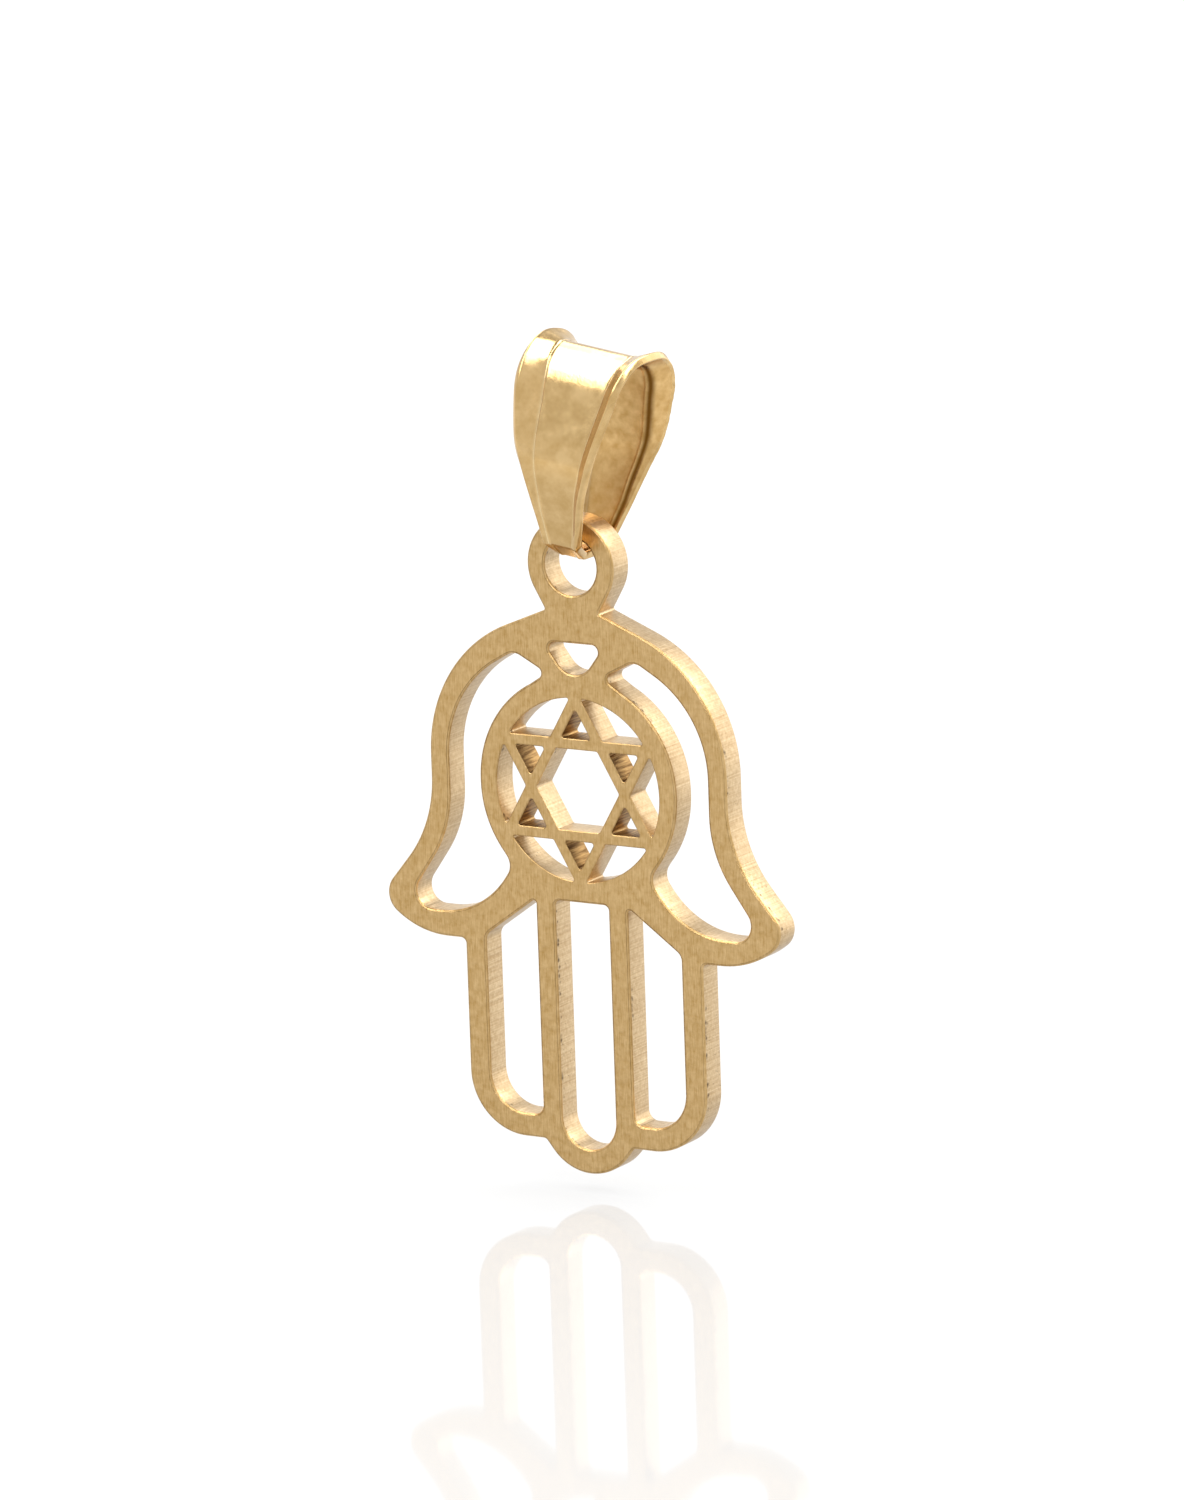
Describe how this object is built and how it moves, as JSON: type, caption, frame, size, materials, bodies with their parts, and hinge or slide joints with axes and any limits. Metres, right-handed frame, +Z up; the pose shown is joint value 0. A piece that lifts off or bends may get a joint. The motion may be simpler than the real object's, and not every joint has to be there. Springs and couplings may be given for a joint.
{
  "type": "pierced hand pendant",
  "caption": "Flat gold hamsa pendant cut from sheet, with a six-pointed star in a ring in its palm, hanging from a flared tapered bail.",
  "frame": {"origin": "top of the inside of the bail, where the pendant hangs on a chain", "axes": "+Z up, +X to the right of the hand seen from the front and along the chain, -Y to the front of the hand"},
  "size_m": [0.0153, 0.0052, 0.0287],
  "materials": {
    "polished_gold": "polished yellow gold, with a bright edge where it is folded",
    "brushed_gold": "satin yellow gold, brushed along the fingers, with bright cut walls"
  },
  "bodies": {
    "bail": {"bail": "polished_gold"},
    "hand": {"hamsa_plate": "brushed_gold"}
  },
  "joints": [
    {"name": "pendant_swing", "type": "hinge", "parent": "bail", "child": "hand", "pos_m": [-0.00103, 0, -0.0057], "axis": [1, 0, 0], "range_deg": [-45, 45]}
  ]
}
